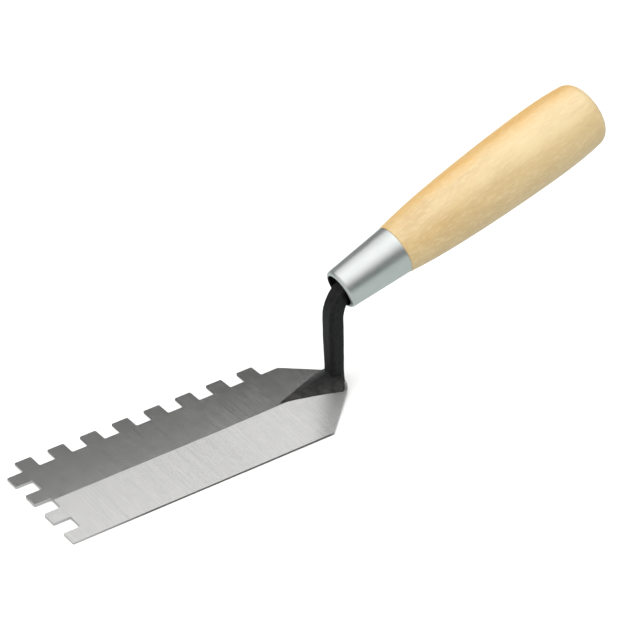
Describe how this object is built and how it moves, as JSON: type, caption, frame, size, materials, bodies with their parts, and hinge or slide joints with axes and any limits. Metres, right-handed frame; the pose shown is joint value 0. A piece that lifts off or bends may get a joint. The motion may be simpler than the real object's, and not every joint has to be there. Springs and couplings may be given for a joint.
{
  "type": "notched margin trowel",
  "caption": "Narrow hand trowel: flat forged blade with square notches along a long side and the toe, cranked shank, steel ferrule, turned wood handle.",
  "frame": {"origin": "middle of the blade's flat working face, on the blade's centreline", "axes": "+X from the toe towards the handle, +Y towards the notched side, +Z away from the work"},
  "size_m": [0.2337, 0.0508, 0.0814],
  "materials": {
    "blade_steel": "ground steel blade with fine scratches, the foot and shank in black lacquer",
    "ferrule_steel": "bright zinc-plated sheet steel",
    "handle_wood": "pale hardwood under clear satin lacquer",
    "adhesive": "set epoxy, hidden inside the handle"
  },
  "bodies": {
    "root": {"blade_forging": "blade_steel", "ferrule": "ferrule_steel", "handle": "handle_wood", "tang_bond": "adhesive"}
  },
  "joints": []
}
